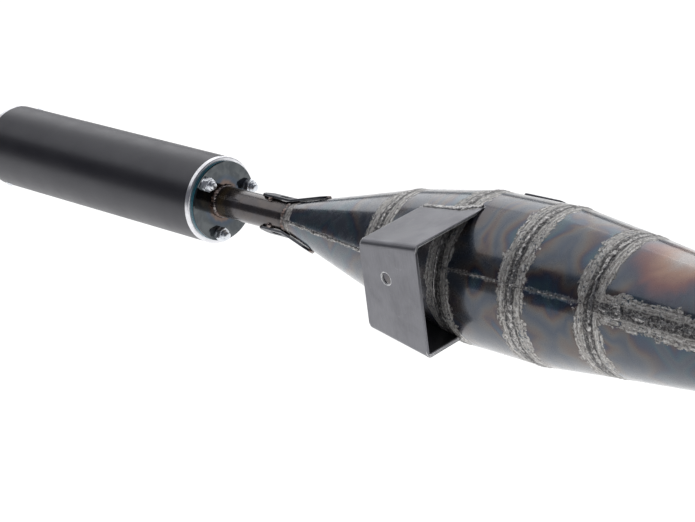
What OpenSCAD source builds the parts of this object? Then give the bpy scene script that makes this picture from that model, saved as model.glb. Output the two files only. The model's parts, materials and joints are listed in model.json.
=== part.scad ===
// Racing exhaust system for a small two-stroke engine: port flange on a sprung slip joint,
// header, expansion chamber, stinger and a round absorption silencer.
// Frame: origin at the centre of the frame bracket's bolt hole, on its outer face. +X runs along
// the silencer towards the tail, +Y points away from the bracket towards the frame, +Z is up.

/* [Silencer] */
// Outside diameter of the black sleeve
sleeve_d = 70; // [60:1:80]
// Length of the sleeve between its two end rings
sleeve_length = 256; // [200:1:320]
// Wall of the sleeve
sleeve_wall = 1.6; // [1.2:0.1:2.2]
// Width of the polished ring beyond each end of the sleeve
ring_width = 4.2; // [3:0.1:6]
// Radius rolled on each ring's outer edge
ring_edge = 1.2; // [0.8:0.1:1.5]
// How far each end bung reaches into the sleeve
bung_depth = 14; // [10:1:20]
// Thickness of the sealing gasket under the inlet end plate
gasket_t = 1.8; // [0.4:0.1:2]
// Diameter of the inlet end plate
plate_d = 63.8; // [62:0.2:68]
// Thickness of the inlet end plate
plate_t = 2; // [2:0.5:4]
// Outside diameter of the perforated core
core_d = 30; // [28:1:34]
// Wall of the perforated core
core_wall = 1; // [0.8:0.1:1.2]
// Diameter of each perforation
core_hole_d = 5; // [4:0.5:6]
// Rings of perforations along the core
core_rings = 15; // [8:1:18]
// Outside diameter of the outlet tip
outlet_d = 28; // [26:1:32]
// Wall of the outlet tip
outlet_wall = 1.5; // [1:0.1:2]
// How far the outlet tip stands out behind the silencer
outlet_reach = 18; // [10:1:30]

/* [Fasteners] */
// Pitch circle diameter of the inlet end studs
stud_pcd = 52.6; // [50:0.1:54]
// Direction of the first stud, degrees from +Y towards +Z
stud_turn = 55.8; // [0:0.1:119]
// Thread diameter of the studs
stud_d = 6; // [5:1:6]
// Width across flats of the nuts
nut_flats = 10; // [8:1:10]
// Height of the nuts' hexagons
nut_h = 4.4; // [4:0.1:6]
// Height of the round locking collar on each nut
nut_collar_h = 2.2; // [1.5:0.1:3]
// Diameter of the locking collar
nut_collar_d = 8.6; // [8:0.1:9.4]
// Diameter of the washers under the nuts
washer_d = 11; // [11:0.5:12]
// Thickness of the washers
washer_t = 1.2; // [1:0.1:1.6]
// Length of stud that shows past each nut
stud_proud = 2.6; // [2:0.1:5]
// Rivets that hold the tail bung, seen round the sleeve
tail_rivets = 4; // [3:1:6]

/* [Expansion chamber] */
// Outside radius of the stinger pipe
stinger_r = 12.5; // [11:0.5:14]
// Outside radius at the large end of the baffle cone
baffle_r = 44; // [38:1:48]
// Outside radius at the large end of the rear cone
rear_r = 54.8; // [50:0.2:58]
// Outside radius at the front end of the belly
belly_r = 55.4; // [51:0.2:58]
// Outside radius at the small end of the front cone
front_r = 47.9; // [44:0.1:50]
// Outside radius at the small end of the diffuser
diffuser_r = 32.4; // [28:0.2:36]
// Outside radius of the header pipe
header_r = 21; // [19:0.5:22]
// Length of the stinger pipe
stinger_length = 80.5; // [60:0.1:110]
// Length of the baffle cone
baffle_length = 128.6; // [110:0.1:160]
// Length of the rear cone
rear_length = 72; // [60:1:80]
// Length of the belly
belly_length = 68; // [60:1:80]
// Length of the front cone
front_length = 67; // [50:1:80]
// Length of the diffuser
diffuser_length = 140; // [110:1:170]
// Length of the header cone
header_length = 140; // [110:1:170]
// Sheet thickness of the chamber
sheet = 1.2; // [0.8:0.1:1.5]
// Lean of the stinger and the rear of the chamber from the silencer's axis, degrees
lean = 2.4; // [0:0.1:3]
// Direction of that lean, degrees from +Y towards +Z
lean_roll = 52; // [0:1:90]
// Mitre bend at the front of the belly, degrees
belly_bend = 4; // [0:0.5:5]
// Mitre bend at the front of the front cone, degrees
front_bend = 4; // [0:0.5:5]
// Mitre bend at the front of the diffuser, degrees
diffuser_bend = 5; // [0:0.5:6]
// Direction in which the front of the chamber and the header bend, degrees from +Y towards +Z
bend_roll = 25; // [0:1:60]
// Radius of a weld bead's section
bead_r = 2; // [1.5:0.1:2.2]
// Radius of a longitudinal seam's section
seam_r = 1.3; // [1:0.1:1.5]

/* [Header and slip joint] */
// Centreline radius of the header bend
bend_r = 90; // [70:1:120]
// Angle of the header bend, degrees
bend_angle = 52; // [30:1:60]
// Length of straight pipe after the bend
stub_length = 44; // [44:1:60]
// Bore radius of the socket, which the spigot turns in
socket_bore_r = 22; // [21.5:0.1:23]
// Wall of the socket over its bore
socket_wall = 2; // [1.5:0.1:3]
// Depth of the socket's bore
socket_depth = 36; // [30:1:42]
// Overlap of the socket and the header pipe
socket_grip = 10; // [8:1:14]
// Running clearance of the spigot in the socket, on the radius
spigot_gap = 0.05; // [0.02:0.01:0.1]
// Length of the spigot inside the socket
spigot_length = 32; // [26:1:34]
// Bore radius of the port flange
port_r = 18.5; // [17:0.5:19]
// Thickness of the port flange
flange_t = 8; // [6:1:10]
// Gap between the socket's mouth and the flange
flange_gap = 4; // [3:1:6]
// Pitch circle diameter of the two port studs
port_pcd = 70; // [68:1:72]
// Diameter of the port stud holes
port_hole_d = 8.5; // [8.4:0.1:9]
// Width of the seal rings
seal_w = 3; // [2.5:0.1:3.5]
// Wire diameter of the springs
wire_d = 1.8; // [1.5:0.1:2]
// Mean coil radius of the springs
coil_r = 5; // [4.5:0.1:5.5]
// Distance of the spring line from the header's axis
spring_offset = 33; // [32:0.5:36]

/* [Frame bracket] */
// Plate thickness of the bracket
bracket_t = 2.5; // [2:0.1:3]
// Outside radius of the bracket's two folds
fold_r = 4.5; // [3:0.5:5]
// Diameter of the bolt hole
bolt_hole_d = 8.6; // [8.4:0.1:9]
// Turn of the bracket's face about Z, degrees
bracket_yaw = 5.2; // [0:0.1:8]
// Lean of the bracket's open sides, degrees
bracket_lean = 3.3; // [0:0.1:5]
// Width of the bracket along the chamber
bracket_w = 57.1; // [50:0.1:70]
// Distance of the bolt hole from the bracket's tail side, at the hole's height
hole_inset = 24.2; // [20:0.1:34]
// Height of the top fold above the hole, on the tail side and on the header side
top_heights = [23.7, 33.7]; // [20:0.1:36]
// Depth of the bottom fold below the hole, on the tail side and on the header side
bottom_depths = [47.8, 54.2]; // [40:0.1:56]
// Distance of the bolt hole in front of the silencer's front ring
hole_ahead = 261.4; // [250:0.1:270]
// Distance of the bracket's face from the silencer's axis
hole_out = 81; // [78:0.1:86]
// Depth of the bracket's flanges before they are trimmed to the chamber
bracket_depth = 72; // [68:1:74]
// Height of the bolt hole above the silencer's axis
hole_up = 30.3; // [26:0.1:34]

/* [Straps and tab] */
// Width of the gusset straps
strap_w = 12; // [10:1:14]
// Thickness of the gusset straps
strap_t = 1.8; // [1.5:0.1:2.5]
// Gap under the gusset straps, along their middle
strap_lift = 0.4; // [0.2:0.1:1]
// Ends of the upper strap, in front of the inlet end plate
upper_strap_ends = [47.5, 116]; // [44:0.5:120]
// Ends of the lower strap, in front of the inlet end plate
lower_strap_ends = [53, 112]; // [44:0.5:120]
// Slot along the stinger in each strap, in front of the inlet end plate
rear_slot = [64, 75]; // [60:1:76]
// Slot along the cone in each strap, in front of the inlet end plate
front_slot = [89, 109]; // [86:1:110]
// Width of the slots
slot_w = 5.2; // [4:0.1:6]
// Directions of the upper and lower strap round the stinger, degrees from +Y towards +Z
strap_turns = [114, -43]; // [-180:1:180]
// Length of the side tab along the belly
tab_length = 37; // [30:1:40]
// Width of the side tab round the belly
tab_w = 30; // [24:1:36]
// Thickness of the side tab
tab_t = 2; // [2:0.5:3]
// Diameter of the lock-wire hole in the side tab
tab_hole_d = 4; // [3:0.5:6]
// Metal left between the lock-wire hole and the side tab's free edge
tab_rim = 5; // [3:0.5:8]
// Direction of the side tab round the belly, degrees from +Y towards +Z
tab_turn = 138; // [120:1:160]
// Distance from the line where the side tab lies on the belly to its upper edge
tab_overhang = 8; // [4:1:12]
// Distance of the side tab's middle in front of the belly's first ring weld
tab_ahead = 26; // [20:1:48]

/* [Hidden] */

$fn = 96;
// Overlap that keeps a cut clear of the faces it cuts through
clear = 1;
sleeve_r = sleeve_d / 2;
bung_r = sleeve_r - sleeve_wall;
core_r = core_d / 2;
outlet_r = outlet_d / 2;
stud_r = stud_d / 2;
rivet_r = 1.6;
rivet_length = 10;
rivet_head_h = 1.2;
// Stations in front of the sleeve's front end
gasket_front = ring_width + gasket_t;
plate_front = gasket_front + plate_t;
washer_front = plate_front + washer_t;
nut_front = washer_front + nut_h + nut_collar_h;
plate_r = plate_d / 2;
stinger_bore_r = stinger_r - sheet;

// The chamber is a chain of straight sections, from the end plate forwards
section_lengths = [
    stinger_length, baffle_length, rear_length, belly_length, front_length, diffuser_length,
    header_length
];
section_radii = [
    stinger_r, stinger_r, baffle_r, rear_r, belly_r, front_r, diffuser_r, header_r
];
mitres = [0, 0, 0, 0, belly_bend, front_bend, diffuser_bend, 0];
BAFFLE = 1;
REAR = 2;
BELLY = 3;
FRONT = 4;
DIFFUSER = 5;
HEADER = 6;
// Heading of a section from the stinger's axis
function heading(i) = i == 0 ? mitres[0] : heading(i - 1) + mitres[i];
// Point in the bending plane where a section starts: distance forwards, then sideways
function joint_point(i) =
    i == 0
    ? [0, 0]
    : joint_point(i - 1) + section_lengths[i - 1] * [cos(heading(i - 1)), sin(heading(i - 1))];
function section_slope(i) = (section_radii[i + 1] - section_radii[i]) / section_lengths[i];
// Angles of a section's start and end cuts from square
function start_cut(i) = mitres[i] / 2;
function end_cut(i) = mitres[i + 1] / 2;

// Slip joint, measured forwards from the socket's mouth
flange_back = flange_gap;
flange_front = flange_gap + flange_t;
spigot_r = socket_bore_r - spigot_gap;
socket_r = socket_bore_r + socket_wall;
seal_r = socket_bore_r - 0.03;
seal_depth = 2;
seal_places = [-9, -22];
lug_t = 3;
lug_hole_d = 5;
header_lug_z = -62;
flange_lug_z = -3;
spring_turns = [90, 270];
lug_tip_r = 6;
// Each spring's eye closes round the rim between a lug's hole and its tip
eye_r = 3.3;
eye_z = (flange_lug_z - header_lug_z) / 2 - (lug_hole_d / 2 + lug_tip_r) / 2;
spring_body_half = eye_z - eye_r - wire_d / 2;

// Carries parts from the silencer's own frame to the bracket's hole
module from_silencer() {
    translate([hole_ahead, -hole_out, -hole_up]) children();
}

// Local Z along the silencer towards the tail
module along_silencer() {
    from_silencer() rotate([0, 90, 0]) children();
}

// Local Z along the silencer towards the header
module facing_header() {
    from_silencer() rotate([0, -90, 0]) children();
}

// The stinger's own frame: -X runs forwards along the stinger, and the chamber bends towards +Y
module from_stinger() {
    from_silencer()
        translate([-plate_front, 0, 0])
            rotate([lean_roll, 0, 0])
                rotate([0, 0, -lean])
                    rotate([bend_roll - lean_roll, 0, 0]) children();
}

// Local Z along a chamber section towards the header, with the bend towards local Y
module at_section(i) {
    p = joint_point(i);
    from_stinger()
        translate([-p[0], p[1], 0])
            rotate([0, 0, -heading(i)])
                rotate([0, -90, 0]) children();
}

// Turns local X of a section to a direction given from +Y towards +Z
module turned(angle) {
    rotate([0, 0, 90 - angle + bend_roll]) children();
}

// Local Z along the slip joint towards the port, from the socket's mouth
module at_slip_joint() {
    at_section(HEADER)
        translate([0, 0, header_length])
            translate([0, bend_r * (1 - cos(bend_angle)), bend_r * sin(bend_angle)])
                rotate([-bend_angle, 0, 0])
                    translate([0, 0, stub_length + socket_depth]) children();
}

module tube(outer_r, inner_r, length) {
    difference() {
        cylinder(h = length, r = outer_r);
        translate([0, 0, -clear]) cylinder(h = length + 2 * clear, r = inner_r);
    }
}

module on_studs(angle = stud_turn) {
    // Local X of facing_header() is +Z, and its local Y is +Y
    for (i = [0:2]) rotate([0, 0, 90 - angle - 120 * i]) translate([stud_pcd / 2, 0, 0]) children();
}

// A section's outside or inside surface as a solid, run on past both ends and mitred
module section_solid(i, inset = 0) {
    run_on = 8;
    slope = section_slope(i);
    reach = belly_r + 12;
    length = section_lengths[i];
    start = i == 0 ? -run_on : 0;
    a = tan(start_cut(i)) * reach;
    b = tan(end_cut(i)) * reach;
    intersection() {
        translate([0, 0, -run_on])
            cylinder(
                h = length + 2 * run_on,
                r1 = section_radii[i] - inset - slope * run_on,
                r2 = section_radii[i + 1] - inset + slope * run_on
            );
        rotate([90, 0, 90])
            linear_extrude(height = 2 * reach, center = true)
                polygon([[-reach, start - a], [reach, start + a], [reach, length - b], [-reach, length + b]]);
    }
}

module section_shell(i) {
    run_on = 9;
    slope = section_slope(i);
    at_section(i)
        difference() {
            section_solid(i);
            translate([0, 0, -run_on])
                cylinder(
                    h = section_lengths[i] + 2 * run_on,
                    r1 = section_radii[i] - sheet - slope * run_on,
                    r2 = section_radii[i + 1] - sheet + slope * run_on
                );
        }
}

// ---------- silencer ----------

module silencer_sleeve() {
    color([0.13, 0.13, 0.15])
        difference() {
            along_silencer() tube(sleeve_r, bung_r, sleeve_length);
            on_tail_rivets() translate([0, 0, -clear]) cylinder(h = 6, r = rivet_r);
        }
}

// Half section of an end bung, with the ring at the negative end
module bung_profile(bore_r, counterbore_r, counterbore_depth) {
    difference() {
        union() {
            translate([bore_r, -ring_width])
                square([sleeve_r - ring_edge - bore_r, ring_width]);
            translate([bore_r, -ring_width + ring_edge])
                square([sleeve_r - bore_r, ring_width - ring_edge]);
            translate([sleeve_r - ring_edge, -ring_width + ring_edge]) circle(r = ring_edge);
            translate([bore_r, 0]) square([bung_r - bore_r, bung_depth]);
        }
        translate([0, bung_depth - counterbore_depth])
            square([counterbore_r, counterbore_depth + clear]);
    }
}

module front_bung() {
    color([0.82, 0.83, 0.85])
        difference() {
            along_silencer() rotate_extrude() bung_profile(stinger_bore_r, core_r, 8);
            facing_header() on_studs() translate([0, 0, -10]) cylinder(h = 30, r = stud_r);
        }
}

module end_plate_gasket() {
    color([0.1, 0.6, 0.68])
        facing_header()
            difference() {
                translate([0, 0, ring_width]) tube(plate_r + 0.2, stinger_bore_r, gasket_t);
                on_studs() cylinder(h = 20, r = stud_r + 0.2);
            }
}

module inlet_end_plate() {
    color([0.36, 0.39, 0.41])
        facing_header()
            difference() {
                translate([0, 0, gasket_front]) tube(plate_r, stinger_bore_r, plate_t);
                on_studs() cylinder(h = 20, r = stud_r + 0.2);
            }
}

module end_plate_studs() {
    length = 10 + nut_front + stud_proud;
    dome = 1;
    color([0.8, 0.81, 0.83])
        facing_header()
            on_studs()
                translate([0, 0, -10]) {
                    cylinder(h = length - dome, r = stud_r);
                    translate([0, 0, length - dome]) cylinder(h = dome, r1 = stud_r, r2 = stud_r - dome);
                }
}

module end_plate_washers() {
    color([0.78, 0.79, 0.81])
        facing_header() on_studs() translate([0, 0, plate_front]) tube(washer_d / 2, stud_r + 0.2, washer_t);
}

// Self-locking nuts: a chamfered hexagon with a round collar above it
module end_plate_nuts() {
    rounding = 0.8;
    collar_r = nut_collar_d / 2;
    height = nut_h + nut_collar_h;
    color([0.84, 0.85, 0.87])
        facing_header()
            on_studs()
                translate([0, 0, washer_front])
                    difference() {
                        union() {
                            intersection() {
                                cylinder(h = nut_h, r = nut_flats / sqrt(3), $fn = 6);
                                cylinder(h = nut_h, r1 = nut_flats / 2 + nut_h, r2 = nut_flats / 2 + 0.2);
                            }
                            rotate_extrude()
                                polygon([
                                    [0, clear],
                                    [collar_r, clear],
                                    [collar_r, height - rounding],
                                    [collar_r - rounding, height],
                                    [0, height]
                                ]);
                        }
                        translate([0, 0, -clear]) cylinder(h = height + 2 * clear, r = stud_r);
                    }
}

module tail_bung() {
    color([0.82, 0.83, 0.85])
        difference() {
            from_silencer()
                translate([sleeve_length, 0, 0])
                    rotate([0, -90, 0])
                        rotate_extrude() bung_profile(outlet_r, core_r, 8);
            on_tail_rivets() cylinder(h = rivet_length, r = rivet_r);
        }
}

// Local Z runs inwards from the sleeve's surface at each tail rivet
module on_tail_rivets() {
    for (i = [0:tail_rivets - 1])
        along_silencer()
            rotate([0, 0, 45 + 360 / tail_rivets * i])
                translate([sleeve_r, 0, sleeve_length - bung_depth / 2])
                    rotate([0, -90, 0]) children();
}

module tail_bung_rivets() {
    // A low head on the sleeve and a shank through the sleeve into the bung
    color([0.75, 0.76, 0.78])
        on_tail_rivets() {
            cylinder(h = rivet_length, r = rivet_r);
            translate([0, 0, -rivet_head_h]) cylinder(h = rivet_head_h, r1 = rivet_r + 0.6, r2 = 2 * rivet_r);
        }
}

module outlet_tip() {
    color([0.7, 0.71, 0.73])
        along_silencer()
            translate([0, 0, sleeve_length - bung_depth + 8])
                tube(outlet_r, outlet_r - outlet_wall, bung_depth - 8 + ring_width + outlet_reach);
}

module perforated_core() {
    start = bung_depth - 8;
    length = sleeve_length - 2 * start;
    pitch = (length - 30) / (core_rings - 1);
    color([0.6, 0.6, 0.62])
        along_silencer()
            translate([0, 0, start])
                difference() {
                    tube(core_r, core_r - core_wall, length);
                    for (i = [0:core_rings - 1], turn = [0, 60, 120])
                        translate([0, 0, 15 + i * pitch])
                            rotate([0, 0, turn + 30 * (i % 2)])
                                rotate([90, 0, 0])
                                    cylinder(h = core_d + 2, r = core_hole_d / 2, center = true, $fn = 24);
                }
}

module fibre_packing() {
    color([0.93, 0.9, 0.8])
        along_silencer()
            translate([0, 0, bung_depth + 1])
                tube(bung_r - 0.5, core_r + 0.3, sleeve_length - 2 * bung_depth - 2);
}

// ---------- chamber ----------

module stinger_pipe() {
    // Its rear end is cut flush with the end plate's face
    block = 60;
    color([0.32, 0.29, 0.3])
        difference() {
            section_shell(0);
            from_silencer() translate([-plate_front, -block / 2, -block / 2]) cube(block);
        }
}

module bead(i, major_r, minor_r = bead_r) {
    // A ring of weld lying in the mitre plane at the start of a section
    at_section(i)
        rotate([start_cut(i), 0, 0]) rotate_extrude() translate([major_r, 0]) circle(r = minor_r, $fn = 24);
}

module stinger_welds() {
    color([0.62, 0.58, 0.55]) {
        facing_header()
            translate([0, 0, plate_front + 0.8])
                rotate_extrude() translate([stinger_r + 0.4, 0]) circle(r = 1.9, $fn = 24);
        bead(BAFFLE, stinger_r + 0.2, 1.6);
    }
}

module baffle_cone() {
    color([0.45, 0.43, 0.44]) section_shell(BAFFLE);
}

module rear_cone() {
    color([0.42, 0.42, 0.45]) section_shell(REAR);
}

module belly() {
    color([0.4, 0.42, 0.46]) section_shell(BELLY);
}

module front_cone() {
    color([0.42, 0.4, 0.42]) section_shell(FRONT);
}

module diffuser() {
    color([0.45, 0.4, 0.38]) section_shell(DIFFUSER);
}

module header_cone() {
    color([0.45, 0.38, 0.34]) section_shell(HEADER);
}

module header_bend() {
    // The straight length starts a little inside the bend's own wall
    step = 0.05;
    start = -1;
    color([0.46, 0.36, 0.32])
        at_section(HEADER)
            translate([0, 0, header_length]) {
                translate([0, bend_r, 0])
                    rotate([0, -90, 0])
                        rotate([0, 0, -90])
                            rotate_extrude(angle = bend_angle)
                                translate([bend_r, 0])
                                    difference() {
                                        circle(r = header_r);
                                        circle(r = header_r - sheet);
                                    }
                translate([0, bend_r * (1 - cos(bend_angle)), bend_r * sin(bend_angle)])
                    rotate([-bend_angle, 0, 0])
                        translate([0, 0, start])
                            tube(header_r - step, header_r - sheet + step, stub_length - start);
            }
}

module circumferential_welds() {
    color([0.66, 0.64, 0.6])
        for (i = [REAR, BELLY, FRONT, DIFFUSER, HEADER]) bead(i, section_radii[i] + 0.2);
    color([0.66, 0.64, 0.6])
        at_section(HEADER)
            translate([0, 0, header_length])
                rotate_extrude() translate([header_r + 0.2, 0]) circle(r = bead_r - 0.2, $fn = 24);
}

// A straight seam along one section, clear of the ring welds at its ends
module seam(i, angle) {
    gap = 5;
    slope_angle = atan(section_slope(i));
    at_section(i)
        turned(angle)
            translate([section_radii[i] + gap * section_slope(i), 0, gap])
                rotate([0, slope_angle, 0])
                    cylinder(h = (section_lengths[i] - 2 * gap) / cos(slope_angle), r = seam_r, $fn = 24);
}

module seam_welds() {
    color([0.6, 0.58, 0.55]) {
        seam(BAFFLE, 20);
        seam(REAR, -150);
        seam(BELLY, 27);
        seam(FRONT, 27);
        seam(DIFFUSER, 27);
        seam(HEADER, -160);
    }
}

// ---------- straps, bracket and tab ----------

// Outside radius of the stinger or the baffle cone, at a distance in front of the end plate
function rear_radius(ahead) = stinger_r + max(0, ahead - stinger_length) * section_slope(BAFFLE);

// Outline of a slot or strap between two distances in front of the end plate
module strap_outline(ends, width) {
    end_r = width / 2;
    translate([end_r - ends[1], -end_r]) square([ends[1] - ends[0] - width, width]);
    for (z = [ends[0] + end_r, ends[1] - end_r]) translate([-z, 0]) circle(r = end_r);
}

// A slotted strap bent along the stinger and out along the baffle cone
module gusset_strap(angle, ends) {
    run_on = 2;
    stations = [ends[0] - run_on, stinger_length, ends[1] + run_on];
    inner = [for (z = stations) [rear_radius(z) + strap_lift, z]];
    outer = [for (i = [2, 1, 0]) inner[i] + [strap_t, 0]];
    at_section(0)
        turned(angle)
            intersection() {
                rotate([90, 0, 0])
                    linear_extrude(height = strap_w + run_on, center = true) polygon(concat(inner, outer));
                rotate([0, 90, 0])
                    linear_extrude(height = baffle_r)
                        difference() {
                            strap_outline(ends, strap_w);
                            strap_outline(rear_slot, slot_w);
                            strap_outline(front_slot, slot_w);
                        }
            }
}

module upper_gusset_strap() {
    color([0.42, 0.42, 0.44]) gusset_strap(strap_turns[0], upper_strap_ends);
}

module lower_gusset_strap() {
    color([0.42, 0.42, 0.44]) gusset_strap(strap_turns[1], lower_strap_ends);
}

// Tacks at one strap's ends, and at both edges of its foot
module strap_tacks(angle, ends) {
    tack_r = 2.2;
    foot = ends[0] + strap_w;
    edge = strap_w / 2;
    at_section(0)
        turned(angle) {
            for (z = ends) translate([rear_radius(z) + strap_lift, 0, z]) sphere(r = tack_r, $fn = 32);
            for (side = [-1, 1])
                translate([sqrt(pow(stinger_r, 2) - pow(edge, 2)) + strap_lift, side * edge, foot])
                    sphere(r = tack_r, $fn = 32);
        }
}

module gusset_tack_welds() {
    color([0.6, 0.58, 0.55]) {
        strap_tacks(strap_turns[0], upper_strap_ends);
        strap_tacks(strap_turns[1], lower_strap_ends);
    }
}

// Solid that fills the rear cone and the belly, where the bracket and the tab stand on them
module chamber_core() {
    at_section(REAR)
        rotate_extrude()
            polygon([
                [0, 0],
                [baffle_r, 0],
                [rear_r, rear_length],
                [belly_r, rear_length + belly_length],
                [0, rear_length + belly_length]
            ]);
}

// A point on the bracket's face: u runs from the tail side, 0, to the header side, 1
function bracket_corner(u, top) =
    let (
        z = top
            ? top_heights[0] + u * (top_heights[1] - top_heights[0])
            : -bottom_depths[0] - u * (bottom_depths[1] - bottom_depths[0])
    ) [hole_inset - u * bracket_w - z * tan(bracket_lean), z];

// The bracket's outline as a block: its front edges rounded, run back to the given depth
module bracket_block(inset, round_r, u_ends, depth) {
    sliver = 0.01;
    hull()
        for (u = u_ends, top = [false, true]) {
            corner = bracket_corner(u, top);
            side = top ? -1 : 1;
            translate([corner[0], -inset - round_r, corner[1] + side * (inset + round_r)])
                rotate([0, 90, 0]) cylinder(h = sliver, r = round_r, center = true, $fn = 32);
            translate([corner[0], -depth, corner[1] + side * (inset + 0.5)])
                cube([sliver, 1, 1], center = true);
        }
}

module frame_bracket() {
    color([0.56, 0.57, 0.6])
        difference() {
            rotate([0, 0, -bracket_yaw])
                difference() {
                    bracket_block(0, fold_r, [0, 1], bracket_depth);
                    bracket_block(bracket_t, fold_r - bracket_t, [-0.1, 1.1], bracket_depth + 4);
                }
            chamber_core();
            rotate([0, 0, -bracket_yaw])
                translate([0, clear, 0])
                    rotate([90, 0, 0]) cylinder(h = 8, r = bolt_hole_d / 2);
        }
}

// Where a flange's outer face meets the chamber, as a point in the bracket's yawed frame.
// The rear cone and the belly share one straight axis, which leans by the stinger's angle.
function ahead_of_plate(x) = hole_ahead - x - plate_front;
function chamber_radius(ahead) =
    let (weld = stinger_length + baffle_length + rear_length)
        ahead < weld
        ? rear_r + (ahead - weld) * (rear_r - baffle_r) / rear_length
        : rear_r + (ahead - weld) * (belly_r - rear_r) / belly_length;
function flange_root(u, top) =
    let (
        corner = bracket_corner(u, top),
        x = corner[0] * cos(bracket_yaw) - 60 * sin(bracket_yaw),
        ahead = ahead_of_plate(x),
        side = ahead * tan(lean),
        rise = corner[1] + hole_up - side * sin(lean_roll),
        across = pow(chamber_radius(ahead), 2) - pow(rise, 2),
        y = -hole_out + side * cos(lean_roll) + sqrt(max(across, 0))
    ) [corner[0], (y + x * sin(bracket_yaw)) / cos(bracket_yaw), corner[1]];

// Welds along both flanges' back edges, where they meet the chamber
module bracket_welds() {
    weld_r = 1.5;
    ends = [0.04, 0.36, 0.66, 0.96];
    color([0.62, 0.6, 0.58])
        rotate([0, 0, -bracket_yaw])
            for (top = [false, true], i = [0:2])
                hull()
                    for (u = [ends[i], ends[i + 1]])
                        translate(flange_root(u, top)) sphere(r = weld_r, $fn = 12);
}

// Outline of the side tab: local X round the belly, with the upper edge at the high end
module tab_outline() {
    round_r = 5;
    free_edge = tab_overhang - tab_w;
    start = tab_ahead - tab_length / 2;
    difference() {
        union() {
            translate([free_edge, start + round_r]) square([tab_w, tab_length - 2 * round_r]);
            translate([free_edge + round_r, start]) square([tab_w - 2 * round_r, tab_length]);
            for (x = [free_edge + round_r, tab_overhang - round_r],
                z = [start + round_r, start + tab_length - round_r])
                translate([x, z]) circle(r = round_r);
        }
        translate([free_edge + tab_rim + tab_hole_d / 2, tab_ahead]) circle(r = tab_hole_d / 2);
    }
}

// A flat tab that lies on the belly along a line and stands free of it beyond
module side_tab() {
    bite = 0.3;
    color([0.25, 0.25, 0.27])
        difference() {
            at_section(BELLY)
                turned(tab_turn)
                    translate([rear_r - bite, 0, 0])
                        rotate([90, 0, 90])
                            linear_extrude(height = tab_t) tab_outline();
            chamber_core();
        }
}

// ---------- slip joint ----------

module header_socket() {
    color([0.5, 0.42, 0.38])
        at_slip_joint()
            difference() {
                translate([0, 0, -socket_depth - socket_grip])
                    cylinder(h = socket_depth + socket_grip, r = socket_r);
                translate([0, 0, -socket_depth]) cylinder(h = socket_depth + clear, r = socket_bore_r);
                translate([0, 0, -socket_depth - socket_grip - clear])
                    cylinder(h = socket_grip + 2 * clear, r = header_r);
            }
}

// A drilled lug standing out from the slip joint's axis
module spring_lug(from_r, z, low, high) {
    difference() {
        rotate([90, 0, 0])
            linear_extrude(height = lug_t, center = true) {
                translate([from_r, z + low]) square([spring_offset - from_r, high - low]);
                translate([spring_offset, z]) circle(r = lug_tip_r);
            }
        translate([spring_offset, 0, z]) rotate([90, 0, 0]) cylinder(h = 10, r = lug_hole_d / 2, center = true);
    }
}

module header_spring_lugs() {
    color([0.5, 0.45, 0.42])
        at_slip_joint()
            for (angle = spring_turns)
                rotate([0, 0, angle])
                    difference() {
                        spring_lug(header_r - 3, header_lug_z, -6, 6);
                        translate([0, 0, header_lug_z - 20]) cylinder(h = 40, r = header_r);
                    }
}

module flange_spring_lugs() {
    color([0.6, 0.6, 0.62])
        at_slip_joint()
            for (angle = spring_turns)
                rotate([0, 0, angle])
                    intersection() {
                        union() {
                            spring_lug(socket_r + 2, flange_lug_z, -5, 8);
                            rotate([90, 0, 0])
                                linear_extrude(height = lug_t, center = true)
                                    translate([spring_offset - 1, flange_lug_z + 3])
                                        square([lug_tip_r + 1, 6]);
                        }
                        translate([0, 0, -30]) cylinder(h = 30 + flange_back, r = 60);
                    }
}

module port_flange() {
    ear_r = 11;
    hub_r = 34;
    color([0.7, 0.71, 0.73])
        at_slip_joint()
            difference() {
                union() {
                    translate([0, 0, flange_back])
                        linear_extrude(height = flange_t)
                            hull() {
                                circle(r = hub_r, $fn = 64);
                                for (side = [-1, 1])
                                    translate([side * port_pcd / 2, 0]) circle(r = ear_r, $fn = 32);
                            }
                    translate([0, 0, -spigot_length])
                        cylinder(h = spigot_length + flange_back, r = spigot_r);
                }
                translate([0, 0, -50]) cylinder(h = 100, r = port_r);
                for (side = [-1, 1])
                    translate([side * port_pcd / 2, 0, 0]) cylinder(h = 30, r = port_hole_d / 2);
                for (z = seal_places)
                    translate([0, 0, z - seal_w / 2])
                        difference() {
                            cylinder(h = seal_w, r = spigot_r + clear);
                            cylinder(h = seal_w, r = spigot_r - seal_depth);
                        }
            }
}

module seal_rings() {
    color([0.15, 0.15, 0.16])
        at_slip_joint()
            for (z = seal_places)
                translate([0, 0, z - seal_w / 2]) tube(seal_r, spigot_r - seal_depth, seal_w);
}

// A close-wound spring: ridged body and a round eye at each end
module spring(angle) {
    turns = round(2 * spring_body_half / wire_d);
    pitch = 2 * spring_body_half / turns;
    middle = (flange_lug_z + header_lug_z) / 2;
    color([0.72, 0.73, 0.75])
        at_slip_joint()
            rotate([0, 0, angle])
                translate([spring_offset, 0, middle]) {
                    rotate_extrude() {
                        translate([coil_r - wire_d / 2, -spring_body_half])
                            square([wire_d / 2, 2 * spring_body_half]);
                        for (i = [0:turns - 1])
                            translate([coil_r, -spring_body_half + (i + 0.5) * pitch])
                                circle(r = pitch / 2, $fn = 16);
                    }
                    for (side = [-1, 1]) {
                        // The last turn, which closes the coil down to the eye
                        translate([0, 0, side * (spring_body_half - 0.2)])
                            cylinder(h = wire_d, r = coil_r, center = true);
                        translate([0, 0, side * eye_z])
                            rotate([0, 90, 0])
                                rotate_extrude() translate([eye_r, 0]) circle(r = wire_d / 2, $fn = 16);
                    }
                }
}

module upper_spring() {
    spring(spring_turns[0]);
}

module lower_spring() {
    spring(spring_turns[1]);
}

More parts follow.
